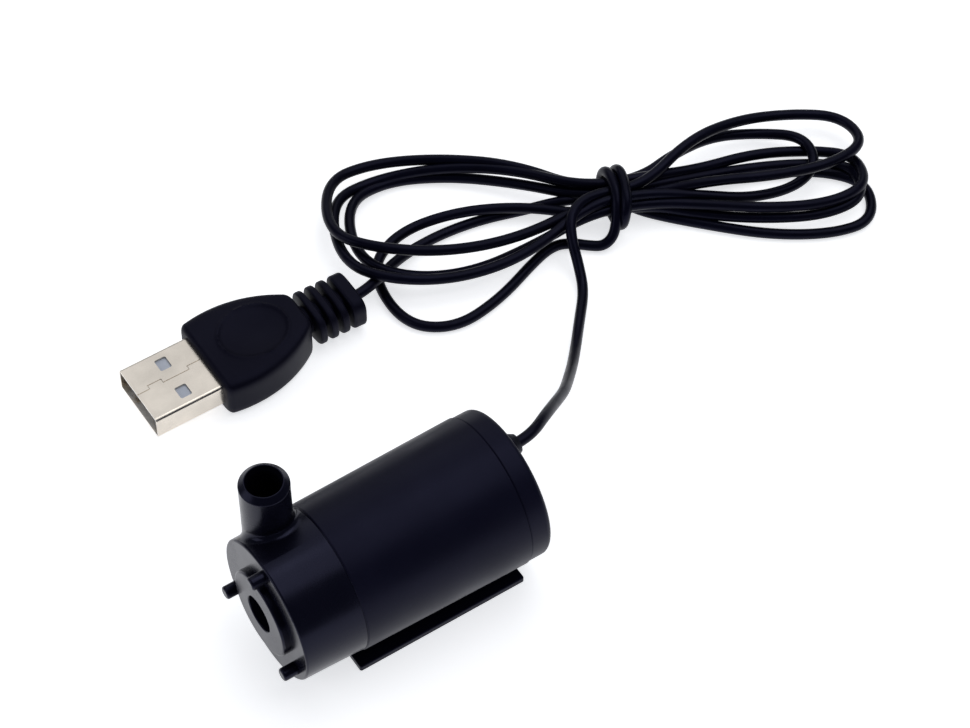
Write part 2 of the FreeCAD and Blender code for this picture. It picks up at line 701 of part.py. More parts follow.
def make_plug():
    outside = rounded("shell_rounded", plug_block(
        "shell_outside", ("0", "-shell_width / 2", "-shell_height / 2"),
        ("shell_length", "shell_width / 2", "shell_height / 2")),
        [("shell_round", lambda edge: runs_along(edge, "shell_length"))])
    inside = plug_block(
        "shell_inside", ("-over", "shell_wall - shell_width / 2", "shell_wall - shell_height / 2"),
        ("shell_length + over", "shell_width / 2 - shell_wall", "shell_height / 2 - shell_wall"))
    windows = []
    for number, side in ((1, -1), (2, 1)):
        window = plug_block(f"window_{number}_square",
                            ("window_front", f"{side} * window_offset - window_width / 2", "-shell_height"),
                            ("window_front + window_length", f"{side} * window_offset + window_width / 2",
                             "shell_height"))
        windows.append(rounded(f"window_{number}", window, [
            ("window_round", lambda edge: edge.BoundBox.ZLength > SIZES["shell_height"]),
        ]))
    keep("plug_shell", cut("shell", outside, inside, *windows, *make_seam()))
    top = "shell_height / 2 - shell_wall - play"
    keep("plug_tongue", plug_block(
        "tongue", ("tongue_start", "-tongue_width / 2", f"{top} - tongue_thick"),
        ("shell_length", "tongue_width / 2", top)))
    contacts = []
    for number, (offset, start) in enumerate(CONTACTS, start=1):
        low = (start, f"{offset} - contact_width / 2", f"{top} - tongue_thick - contact_thick")
        high = ("shell_length + contact_tail", f"{offset} + contact_width / 2", f"{top} - tongue_thick")
        contacts.append(plug_block(f"contact_{number}", low, high))
    keep("plug_contacts", group("contacts", *contacts))


def make_seam():
    """Cutting tools for the lock seam along the shell's top, which steps from side to side."""
    low = "shell_height / 2 - seam_depth"
    tools = []
    for number, (start, end, side) in enumerate(SEAM, start=1):
        tools.append(plug_block(f"seam_run_{number}", (f"{start}", f"{side} - seam_width / 2", low),
                                (f"{end}", f"{side} + seam_width / 2", "shell_height")))
    for number, (before, after) in enumerate(zip(SEAM, SEAM[1:]), start=1):
        sides = sorted((before[2], after[2]))
        tools.append(plug_block(f"seam_step_{number}",
                                (f"{after[0]} - seam_width / 2", f"{sides[0]} - seam_width / 2", low),
                                (f"{after[0]} + seam_width / 2", f"{sides[1]} + seam_width / 2",
                                 "shell_height")))
    return tools


def make_overmould():
    """The moulded grip, swept out between two wide arcs, and its ribbed strain relief."""
    start = SIZES["plug_front"] + SIZES["shell_shown"]
    side = SIZES["plug_side"]
    bottom = SIZES["plug_middle"] - SIZES["mould_thick"] / 2
    large = SIZES["mould_side_radius"]

    def half_width(along):
        off = along - SIZES["mould_widest_at"]
        return SIZES["mould_widest"] - large + math.sqrt(large ** 2 - off ** 2)

    def corner(along, sign):
        return FreeCAD.Vector(start + along, side + sign * half_width(along), bottom)

    length = SIZES["mould_length"]
    edges = [
        Part.Arc(corner(0, -1), corner(length / 2, -1), corner(length, -1)).toShape(),
        Part.LineSegment(corner(length, -1), corner(length, 1)).toShape(),
        Part.Arc(corner(length, 1), corner(length / 2, 1), corner(0, 1)).toShape(),
        Part.LineSegment(corner(0, 1), corner(0, -1)).toShape(),
    ]
    grip = Part.Face(Part.Wire(edges)).extrude(FreeCAD.Vector(0, 0, SIZES["mould_thick"]))
    grip = grip.makeFillet(SIZES["mould_round"], grip.Edges)
    solid = doc.addObject("Part::Feature", "grip")
    solid.Shape = grip
    dish = doc.addObject("Part::Sphere", "thumb_dish")
    bind(dish, Radius="dish_radius ^ 2 / (2 * dish_depth)")
    place(dish, f"({PLUG}) + shell_shown + dish_at", "plug_side",
          "plug_middle + mould_thick / 2 - dish_depth + dish_radius ^ 2 / (2 * dish_depth)")
    spine = rod("relief_core", "relief_core_radius", f"({PLUG}) + shell_shown + mould_length - over",
                f"({PLUG}) + shell_shown + block_front + over", "plug_side", "plug_middle")
    ribs = [relief_slab(f"rib_{number + 1}", f"rib_first + {number} * rib_pitch", "rib_thick", "rib_width")
            for number in range(RIBS)]
    end = relief_slab("end_block", "block_front", "block_length", "block_width")
    shell_room = plug_block("shell_room", ("shell_shown - over", "-shell_width / 2 - play / 2",
                                           "-shell_height / 2 - play / 2"),
                            ("shell_length", "shell_width / 2 + play / 2", "shell_height / 2 + play / 2"))
    core_side = "shell_width / 2 - core_block_inset"
    core_room = plug_block("core_room", ("shell_length - play", f"-({core_side})", "-shell_height / 2"),
                           ("shell_length + core_block_length", core_side, "shell_height / 2"))
    keep("plug_overmould", cut("overmould", fuse("overmould_solid", solid, spine, *ribs, end),
                               dish, shell_room, core_room))
    core = plug_block("core_block", ("shell_length", f"-({core_side}) + play", "-shell_height / 2 + play"),
                      ("shell_length + core_block_length - play", f"{core_side} - play",
                       "shell_height / 2 - play"))
    tail_room = plug_block("contact_room", ("shell_length - over", "-tail_room_width", "-tail_room_below"),
                           ("shell_length + contact_tail + play", "tail_room_width", "tail_room_above"))
    keep("plug_inner_mould", cut("inner_mould", core, tail_room))


def relief_slab(name, start, length, width):
    """One rounded slab of the strain relief."""
    slab = plug_block(name, (f"shell_shown + {start}", f"-{width} / 2", "-rib_height / 2"),
                      (f"shell_shown + {start} + {length}", f"{width} / 2", "rib_height / 2"))
    size = "block_length" if name == "end_block" else "rib_thick"
    return rounded(name + "_rounded", slab, [("rib_round", lambda edge: runs_along(edge, size))])


# ---------------------------------------------------------------------------
# Cord: the lead from the pump, the tied hank and the short tail at the plug
# ---------------------------------------------------------------------------

# The lead drops from the gland to the ground, then climbs onto the side of the hank
LEAD = (
    (23.1, 0, 21.5), (25.0, 0, 21.5), (27.5, 0.25, 21.3), (30.7, 1.05, 20.55), (34.4, 3.1, 18.7),
    (38.1, 7.4, 14.7), (41.6, 12.5, 9.8), (45.0, 17.2, 5.6), (48.8, 21.8, 2.8), (52.6, 26.6, 1.4),
    (55.6, 31.4, 1.0), (57.8, 35.6, 2.2), (59.4, 39.0, 4.0),
)
# The tail leaves the strain relief and meets the hank beside it
TAIL = ((26.3, 49.4, 3.9), (28.2, 49.4, 3.9), (30.1, 49.6, 3.75))

# Each loop of the hank: the way it points, how far it reaches and half its width
LOOPS = (
    (151.5, 48.5, 10.5), (156.0, 47.5, 12.0), (157.0, 44.5, 10.0), (176.5, 42.5, 10.5),
    (-10.5, 42.5, 7.5), (-13.0, 35.5, 7.5), (-23.0, 41.5, 7.0), (-30.0, 42.0, 6.5), (-34.0, 43.0, 7.5),
)
ARC_SHARE = 0.45     # how much of the shorter run a bend takes up
VOLUME_SHARE = 0.01  # how nearly a tube has the volume of its section times its length


def smooth_wire(points):
    """Straight runs joined by tangent arcs, and the radius of each arc."""
    corners = [FreeCAD.Vector(*point) for point in points]
    edges = []
    radii = []
    start = corners[0]
    for before, corner, after in zip(corners, corners[1:], corners[2:]):
        back = before - corner
        ahead = after - corner
        turn = math.pi - back.getAngle(ahead)
        share = ARC_SHARE * min(back.Length, ahead.Length)
        radius = share / math.tan(turn / 2)
        back.normalize()
        ahead.normalize()
        inward = (back + ahead).normalize()
        arc_start = corner + back * share
        arc_end = corner + ahead * share
        middle = corner + inward * (radius / math.cos(turn / 2) - radius)
        edges.append(Part.LineSegment(start, arc_start).toShape())
        edges.append(Part.Arc(arc_start, middle, arc_end).toShape())
        radii.append(round(radius, 1))
        start = arc_end
    edges.append(Part.LineSegment(start, corners[-1]).toShape())
    return Part.Wire(edges), radii


def tube(label, points, radius):
    """A round tube along a smoothed route."""
    wire, radii = smooth_wire(points)
    first = wire.Edges[0]
    direction = first.tangentAt(first.FirstParameter)
    section = Part.Wire([Part.makeCircle(radius, FreeCAD.Vector(*points[0]), direction)])
    solid = wire.makePipeShell([section], True, True)
    expected = math.pi * radius ** 2 * wire.Length
    assert abs(solid.Volume - expected) < VOLUME_SHARE * expected, label
    print(f"{label}: {wire.Length:.1f} mm long, bends of {radii} mm")
    feature = doc.addObject("Part::Feature", label)
    feature.Shape = solid
    keep(label, feature)


def teardrop(angle, reach, half_width):
    """The outline of one loop, as a prism from the ground up: a round end and a round waist."""
    turn = math.radians(angle)
    waist = FreeCAD.Vector(SIZES["waist_along"], SIZES["waist_side"], 0)
    far_radius = half_width + SIZES["cord_radius"]
    near_radius = SIZES["waist_radius"]
    gap = reach - half_width
    way = FreeCAD.Vector(math.cos(turn), math.sin(turn), 0)
    across = FreeCAD.Vector(-way.y, way.x, 0)
    centre = waist + way * gap
    lean = (far_radius - near_radius) / gap
    spread = math.sqrt(1 - lean ** 2)

    def touch(middle, radius, sign):
        return middle + across * (sign * radius * spread) - way * (radius * lean)

    far_left = touch(centre, far_radius, 1)
    far_right = touch(centre, far_radius, -1)
    near_left = touch(waist, near_radius, 1)
    near_right = touch(waist, near_radius, -1)
    edges = [
        Part.LineSegment(near_right, far_right).toShape(),
        Part.Arc(far_right, centre + way * far_radius, far_left).toShape(),
        Part.LineSegment(far_left, near_left).toShape(),
        Part.Arc(near_left, waist - way * near_radius, near_right).toShape(),
    ]
    return Part.Face(Part.Wire(edges)).extrude(FreeCAD.Vector(0, 0, SIZES["hank_height"]))


def make_cord():
    tube("cord_lead", LEAD, SIZES["cord_radius"])
    tube("cord_tail", TAIL, SIZES["cord_radius"])
    prisms = [teardrop(*loop) for loop in LOOPS]
    hank = doc.addObject("Part::Feature", "hank")
    hank.Shape = prisms[0].multiFuse(prisms[1:]).removeSplitter()
    keep("cord_hank", hank)


WIRE_START = 0.9     # straight stretches at the ends of each wire
WIRE_END = 1.4


def make_wires():
    """The cable's two cores, from its jacket's end to the motor's terminals."""
    core_start = FRONT_NUMBER + SIZES["cap_floor"] - SIZES["jacket_inside"]
    tip = FRONT_NUMBER + SIZES["terminal_rear"]
    middle = SIZES["axis_height"]
    top = middle + SIZES["gland_height"]
    lift = SIZES["wire_radius"]
    for label, side in (("wire_black", -1), ("wire_red", 1)):
        offset = side * SIZES["terminal_offset"]
        before_tip = tip + WIRE_END
        tube(label, (
            (core_start, side * lift, top), (core_start - WIRE_START, side * lift, top),
            (before_tip, offset / 2, top - SIZES["gland_height"] / 2), (before_tip, offset, middle),
            (tip, offset, middle),
        ), SIZES["wire_radius"])


# ---------------------------------------------------------------------------
# Build, check and write
# ---------------------------------------------------------------------------

make_head()
make_housing()
make_seals()
make_rear()
make_stator()
make_rear_of_motor()
make_rotor()
make_impeller()
make_plug()
make_overmould()
make_cord()
make_wires()
doc.recompute()

for item in doc.Objects:
    broken = [state for state in item.State if state in ("Invalid", "Error")]
    if broken:
        raise RuntimeError(f"{item.Name} is {broken}")
for label, item in nodes.items():
    if item.Shape.isNull() or not item.Shape.isValid() or item.Shape.Volume <= 0:
        raise RuntimeError(f"{label} has no valid solid")

os.makedirs("parts", exist_ok=True)
for label, item in nodes.items():
    item.Shape.exportStep(os.path.join("parts", label + ".step"))
print(f"{len(nodes)} nodes")
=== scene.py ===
"""Looks of the mini fountain pump: its tied USB lead, its finishes, and the pale studio it stands in.

Metres throughout, in the CAD's own frame: X along the motor shaft, Z up, the pump standing on z = 0.
"""
import math

import bmesh
import bpy
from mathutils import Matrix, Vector


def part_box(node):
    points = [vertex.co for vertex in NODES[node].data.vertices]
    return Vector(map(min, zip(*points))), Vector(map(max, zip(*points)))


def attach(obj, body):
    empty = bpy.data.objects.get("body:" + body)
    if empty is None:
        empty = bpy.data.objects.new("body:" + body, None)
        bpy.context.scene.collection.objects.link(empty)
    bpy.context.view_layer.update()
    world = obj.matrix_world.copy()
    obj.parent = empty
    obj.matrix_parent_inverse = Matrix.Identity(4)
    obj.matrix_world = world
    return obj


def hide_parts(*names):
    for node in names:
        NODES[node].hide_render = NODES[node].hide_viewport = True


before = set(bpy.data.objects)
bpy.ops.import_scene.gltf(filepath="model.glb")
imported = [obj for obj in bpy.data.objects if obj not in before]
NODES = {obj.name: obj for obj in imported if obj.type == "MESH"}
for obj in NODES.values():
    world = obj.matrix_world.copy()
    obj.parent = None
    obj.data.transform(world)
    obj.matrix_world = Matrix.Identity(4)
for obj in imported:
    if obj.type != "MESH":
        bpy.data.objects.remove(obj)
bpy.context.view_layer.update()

# ---------------------------------------------------------------------------
# Camera
# ---------------------------------------------------------------------------

CAMERA_AT = Vector((-0.12391, -0.21513, 0.38146))
LOOKS_AT = Vector((0.03204, 0.02225, 0.01))
LENS = 111.34            # focal length, millimetres
SENSOR_WIDTH = 36        # millimetres
NEAREST, FARTHEST = 0.01, 10


def make_camera():
    data = bpy.data.cameras.new("camera")
    data.lens = LENS
    data.sensor_width = SENSOR_WIDTH
    data.clip_start = NEAREST
    data.clip_end = FARTHEST
    camera = bpy.data.objects.new("camera", data)
    camera.location = CAMERA_AT
    camera.rotation_euler = (LOOKS_AT - CAMERA_AT).to_track_quat("-Z", "Y").to_euler()
    bpy.context.collection.objects.link(camera)
    bpy.context.scene.camera = camera


make_camera()

# ---------------------------------------------------------------------------
# The lead: out of the pump, through a loose hank tied with its own end, into the plug
# ---------------------------------------------------------------------------

CORD = 0.0018            # diameter
WAIST = Vector((0.0718, 0.0435))        # the tie, in plan
BUNDLE = math.radians(-20)              # which way the strands run through the tie
ALONG = Vector((math.cos(BUNDLE), math.sin(BUNDLE)))
ACROSS = Vector((-ALONG.y, ALONG.x))
FLOOR_LEVEL = CORD / 2   # height of a strand that lies on the floor
PASS_REACH = 0.005       # half the tied stretch
LOW, MIDDLE, HIGH = 0.0026, 0.0041, 0.0055          # the bundle's three layers in the tie

# From the gland down to the floor, then up on to the bundle
LEAD = [
    (0.0231, 0, 0.0215), (0.0247, 0.0001, 0.0215), (0.0270, 0.0008, 0.0213),
    (0.0302, 0.0030, 0.0198), (0.0341, 0.0061, 0.0164), (0.0383, 0.0096, 0.0124), (0.0422, 0.0139, 0.0083),
    (0.0457, 0.0178, 0.0052), (0.0494, 0.0222, 0.0026), (0.0535, 0.0271, 0.0012),
    (0.0575, 0.0317, 0.0010), (0.0592, 0.0358, 0.0024), (0.0601, 0.0392, 0.0047),
    (0.0618, 0.0422, 0.0061), (0.0648, 0.0440, 0.0063), (0.0686, 0.0442, 0.0060),
]

# Twice round the bundle, as the cord's own tie: along the bundle, across it, height
WRAP = [
    (-0.0115, -0.0055, 0.0010), (-0.0088, -0.0058, 0.0010), (-0.0063, -0.0068, 0.0009),
    (-0.0040, -0.0076, 0.0010), (-0.0021, -0.0070, 0.0022), (-0.0012, -0.0053, 0.0042),
    (-0.0007, -0.0035, 0.0061), (-0.0003, -0.0009, 0.0072), (-0.0006, 0.0027, 0.0072),
    (-0.0010, 0.0046, 0.0053), (-0.0013, 0.0046, 0.0028), (-0.0012, 0.0028, 0.0009),
    (-0.0008, -0.0004, 0.0009), (-0.0004, -0.0036, 0.0009), (-0.0001, -0.0054, 0.0028),
    (0.0003, -0.0054, 0.0053), (0.0009, -0.0036, 0.0072), (0.0014, -0.0004, 0.0073),
    (0.0013, 0.0028, 0.0072), (0.0009, 0.0046, 0.0053), (0.0006, 0.0046, 0.0028),
    (0.0007, 0.0028, 0.0009), (0.0020, 0.0004, 0.0009), (0.0050, -0.0023, 0.0009),
]

# Out of the bundle, along the floor and up into the plug's relief
TAIL = [
    (0.0640, 0.0486, 0.0027), (0.0588, 0.0512, 0.0012), (0.0520, 0.0536, 0.0009),
    (0.0450, 0.0546, 0.0009), (0.0388, 0.0541, 0.0014), (0.0345, 0.0529, 0.0021),
    (0.0315, 0.0513, 0.0030), (0.0292, 0.0502, 0.0036), (0.0273, 0.0495, 0.0039),
    (0.0255, 0.0492, 0.0039), (0.0238, 0.0491, 0.0039),
]

# The loops' outlines, each leaving on its first side: share of the reach, share of the half width
SLOPING = [(0.36, 0.68), (0.60, 1.06), (0.83, 0.95), (1.02, 0.48),
           (1.045, -0.60), (0.87, -1.06), (0.62, -0.98), (0.36, -0.60)]
ROUNDED = [(0.36, 0.72), (0.60, 1.14), (0.83, 0.86), (1.01, 0.28),
           (1.01, -0.62), (0.87, -1.06), (0.62, -1.10), (0.36, -0.72)]
OUTLINE = [(0.36, 0.60), (0.62, 0.98), (0.87, 1.00), (1.045, 0.60),
           (1.045, -0.60), (0.87, -1.06), (0.62, -0.98), (0.36, -0.60)]
FULL = [(0.36, 0.80), (0.62, 1.06), (0.87, 1.00), (1.045, 0.60),
        (1.045, -0.60), (0.87, -1.00), (0.62, -0.98), (0.36, -0.68)]
PINCHED = [(0.36, 0.60), (0.62, 0.98), (0.87, 1.06), (1.045, 0.60),
           (1.045, -0.60), (0.87, -1.06), (0.64, -0.85), (0.40, -0.35)]

# Each loop: its outline, which way it points in degrees, reach, half width (negative turns it over),
# and how far its points are lifted off the floor, in cord diameters
LOOPS = {
    "right_a": (SLOPING, -12.4, 0.0418, 0.0069, (3.4, 2.4, 1.6, 1.4, 1.9, 2.4, 2.7, 2.9)),
    "left_a": (FULL, 151, 0.0457, 0.0110, (2.4, 2.9, 3.5, 3.1, 1.8, 1.2, 1.5, 2.2)),
    "right_b": (ROUNDED, -12.9, 0.0345, 0.0067, (2, 1, 0.8, 1.3, 1.2, 0.6, 1, 2)),
    "left_b": (FULL, 156.5, 0.0448, 0.0124, (1.8, 1.8, 2.3, 2.4, 1.2, 0.3, 1.1, 2)),
    "right_c": (OUTLINE, -24.4, 0.0400, 0.0070, (1.3, 0.9, 0.3, 0.7, 1.8, 2, 1.9, 1.8)),
    "left_c": (OUTLINE, 156.2, 0.0423, 0.0114, (0.6, 0.9, 1.6, 2.1, 0.9, 0, 0.2, 0.8)),
    "right_d": (OUTLINE, -27.2, 0.0394, 0.0063, (1, 0.2, 0, 0.6, 1.2, 1.0, 0.8, 0.5)),
    "left_d": (PINCHED, 173.6, 0.0404, -0.0102, (1, 1, 0.5, 0.1, 0, 0, 0, 0)),
    "right_e": (OUTLINE, -31.5, 0.0409, -0.0067, (0, 0, 0, 0, 0, 0, 0.2, 0.6)),
}

# The loops before the tie, in the cord's order, each with the pass through the waist that follows it:
# its direction along the bundle, how far across it, and its layer
TURNS = (
    ("right_a", -1, -0.0009, MIDDLE), ("left_a", 1, 0.0027, MIDDLE),
    ("right_b", -1, -0.0018, HIGH), ("left_b", 1, 0.0018, HIGH),
    ("right_c", -1, -0.0027, MIDDLE), ("left_c", 1, 0.0009, MIDDLE),
    ("right_d", -1, -0.0018, LOW),
)
INTO_TIE = "left_d"      # runs straight into the tie's two turns
LAST = "right_e"         # comes after them, and passes back under the bundle
LAST_ACROSS = 0.0018     # where that pass crosses the waist


def bundle_point(along, across, height):
    """A point given by its distances along and across the bundle, from the tie."""
    place = WAIST + ALONG * along + ACROSS * across
    return (place.x, place.y, height)


def tied_pass(direction, across, height):
    """Two points where the cord crosses the tied waist, at its own place in the bundle."""
    return [bundle_point(-PASS_REACH * direction, across, height),
            bundle_point(PASS_REACH * direction, across, height)]


def loop_points(name):
    """One loop of the hank, from the waist out and back."""
    outline, angle, reach, half, lifts = LOOPS[name]
    way = Vector((math.cos(math.radians(angle)), math.sin(math.radians(angle))))
    side = Vector((-way.y, way.x))
    points = []
    for (out, over), lift in zip(outline, lifts):
        place = WAIST + way * out * reach + side * over * half
        points.append((place.x, place.y, FLOOR_LEVEL + lift * CORD))
    return points


def cord_route():
    """The control points of the whole cord, from the gland to the plug."""
    points = LEAD + [bundle_point(PASS_REACH, 0, HIGH)]
    for name, direction, across, height in TURNS:
        points += loop_points(name) + tied_pass(direction, across, height)
    points += loop_points(INTO_TIE)
    points += [bundle_point(*place) for place in WRAP]
    points += loop_points(LAST) + tied_pass(-1, LAST_ACROSS, LOW)
    return points + TAIL


def make_cord():
    points = cord_route()
    curve = bpy.data.curves.new("power_lead", "CURVE")
    curve.dimensions = "3D"
    spline = curve.splines.new("NURBS")
    spline.points.add(len(points) - 1)
    for place, point in zip(points, spline.points):
        point.co = (*place, 1)
        point.radius = CORD / 2
    spline.order_u = 3
    spline.use_endpoint_u = True
    spline.resolution_u = 10
    curve.bevel_depth = 1            # times each point's radius
    curve.bevel_resolution = 5
    curve.use_fill_caps = True
    lead = bpy.data.objects.new("power_lead", curve)
    bpy.context.collection.objects.link(lead)
    return lead


power_lead = make_cord()
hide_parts("cord_lead", "cord_hank", "cord_tail")
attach(power_lead, "pump")

# ---------------------------------------------------------------------------
# Materials
# ---------------------------------------------------------------------------


class Finish:
    """A Principled material with helpers for the textures that drive it."""

    def __init__(self, name, colour, roughness, metallic=0.0):
        self.material = bpy.data.materials.new(name)
        self.material.use_nodes = True
        self.material.diffuse_color = (*colour, 1)
        self.tree = self.material.node_tree
        self.shader = self.tree.nodes["Principled BSDF"]
        self.shader.inputs["Base Color"].default_value = (*colour, 1)
        self.shader.inputs["Roughness"].default_value = roughness
        self.shader.inputs["Metallic"].default_value = metallic
        self.colour = colour
        self.roughness = roughness
        self.place = self.tree.nodes.new("ShaderNodeTexCoord").outputs["Object"]
        self.normal = None

    def link(self, source, target):
        self.tree.links.new(source, target)

    def stretched(self, scale):
        """Object coordinates squeezed by a scale along each axis."""
        mapping = self.tree.nodes.new("ShaderNodeMapping")
        mapping.inputs["Scale"].default_value = scale
        self.link(self.place, mapping.inputs["Vector"])
        return mapping.outputs["Vector"]

    def noise(self, scale, detail=3.0, stretch=None):
        """Clouds of that scale, squeezed along the axes if a stretch is given."""
        node = self.tree.nodes.new("ShaderNodeTexNoise")
        node.inputs["Scale"].default_value = scale
        node.inputs["Detail"].default_value = detail
        self.link(self.stretched(stretch) if stretch else self.place, node.inputs["Vector"])
        return node.outputs["Fac"]

    def cells(self, scale):
        """Pits and specks of that scale."""
        node = self.tree.nodes.new("ShaderNodeTexVoronoi")
        node.inputs["Scale"].default_value = scale
        self.link(self.place, node.inputs["Vector"])
        return node.outputs["Distance"]

    def bands(self, axis, scale, distortion):
        """Even ridges across that axis."""
        node = self.tree.nodes.new("ShaderNodeTexWave")
        node.bands_direction = axis
        node.inputs["Scale"].default_value = scale
        node.inputs["Distortion"].default_value = distortion
        self.link(self.place, node.inputs["Vector"])
        return node.outputs["Fac"]

    def spread(self, source, low, high, start=0.3, end=0.7):
        """A texture's value between start and end, mapped to run from low to high."""
        node = self.tree.nodes.new("ShaderNodeMapRange")
        for key, value in (("From Min", start), ("From Max", end), ("To Min", low), ("To Max", high)):
            node.inputs[key].default_value = value
        self.link(source, node.inputs["Value"])
        return node.outputs["Result"]

    def tint(self, source, other, start=0.35, end=0.7):
        """The base colour drifts towards another one where the texture is high."""
        node = self.tree.nodes.new("ShaderNodeMix")
        node.data_type = "RGBA"
        held = self.shader.inputs["Base Color"]
        if held.is_linked:
            self.link(held.links[0].from_socket, node.inputs["A"])
        else:
            node.inputs["A"].default_value = (*self.colour, 1)
        node.inputs["B"].default_value = (*other, 1)
        self.link(self.spread(source, 0, 1, start, end), node.inputs["Factor"])
        self.link(node.outputs["Result"], held)
        return self

    def uneven(self, source, drift):
        """The roughness wanders by a drift to either side."""
        self.link(self.spread(source, self.roughness - drift, self.roughness + drift),
                  self.shader.inputs["Roughness"])
        return self

    def bump(self, source, height, strength):
        """Relief of that height in metres, over any relief made before."""
        node = self.tree.nodes.new("ShaderNodeBump")
        node.inputs["Distance"].default_value = height
        node.inputs["Strength"].default_value = strength
        self.link(source, node.inputs["Height"])
        if self.normal:
            self.link(self.normal, node.inputs["Normal"])
        self.normal = node.outputs["Normal"]
        self.link(self.normal, self.shader.inputs["Normal"])
        return self

    def set(self, **values):
        """Shader inputs by name, with underscores for spaces."""
        for key, value in values.items():
            self.shader.inputs[key.replace("_", " ")].default_value = value
        return self


MICRON = 1e-6
BLUE_SHEEN = (0.55, 0.57, 1.0, 1)
WAVE_REPEAT = 0.31831    # a wave texture of scale 1 repeats after about this length
LOW_INDEX = 1.25         # index of refraction that keeps black plastic dark at glancing angles


def scaled(colour, factor):
    return tuple(channel * factor for channel in colour)


def moulded(name, colour, roughness, grain, sheen_colour, depth=6, reflects=0.5, index=1.5):
    """Injection-moulded plastic: a fine spark-eroded texture, faint flow marks, dust in places."""
    finish = Finish(name, colour, roughness)
    finish.set(IOR=index, Specular_IOR_Level=reflects, Specular_Tint=BLUE_SHEEN)
    clouds = finish.noise(90, detail=4)
    dust = finish.noise(2600, detail=2)
    finish.tint(clouds, sheen_colour)
    finish.tint(dust, scaled(sheen_colour, 1.5), start=0.66, end=0.8)
    finish.uneven(finish.noise(140, detail=5), drift=0.05)
    finish.bump(finish.noise(grain), depth * MICRON, strength=0.5)
    flow_marks = finish.noise(60, detail=2, stretch=(0.4, 1, 1))
    return finish.bump(flow_marks, 60 * MICRON, strength=0.25)


def metal(name, colour, roughness, stretch, depth=3, grain=900):
    """Metal with drawn or turned lines along its long direction, and handling marks."""
    finish = Finish(name, colour, roughness, metallic=1.0)
    finish.tint(finish.noise(160, detail=4), scaled(colour, 0.82))
    finish.uneven(finish.noise(220, detail=6), drift=0.07)
    lines = finish.noise(grain, stretch=stretch)
    finish.bump(lines, depth * MICRON, strength=0.5)
    return finish.bump(finish.noise(5000, detail=2), 1.5 * MICRON, strength=0.4)


def cable_jacket(name, colour, roughness):
    """Soft PVC drawn over stranded wire, with scuffs and a faint lie of the strands."""
    finish = Finish(name, colour, roughness)
    finish.set(IOR=LOW_INDEX, Specular_IOR_Level=0.42, Specular_Tint=BLUE_SHEEN)
    finish.tint(finish.noise(120, detail=5), scaled(colour, 1.8))
    finish.uneven(finish.noise(300, detail=4), drift=0.08)
    scuffs = finish.noise(1400, detail=4)
    strands = finish.noise(240, detail=2)
    finish.bump(scuffs, 14 * MICRON, strength=0.6)
    return finish.bump(strands, 40 * MICRON, strength=0.35)


def porous(name, colour, other, roughness, metallic, scale, depth):
    """Pressed powder or potting: specks and pits."""
    finish = Finish(name, colour, roughness, metallic)
    finish.tint(finish.noise(scale * 0.4, detail=5), other)
    finish.uneven(finish.noise(scale * 0.3), drift=0.08)
    return finish.bump(finish.cells(scale), depth * MICRON, strength=0.5)


def banded(name, colour, other, roughness, metallic, axis, pitch, depth):
    """Wire turns or stamped sheets, side by side at about that pitch in metres."""
    finish = Finish(name, colour, roughness, metallic)
    finish.tint(finish.noise(400, detail=4), other)
    finish.uneven(finish.noise(600), drift=0.06)
    turns = finish.bands(axis, WAVE_REPEAT / pitch, distortion=0.3)
    return finish.bump(turns, depth * MICRON, strength=0.8)


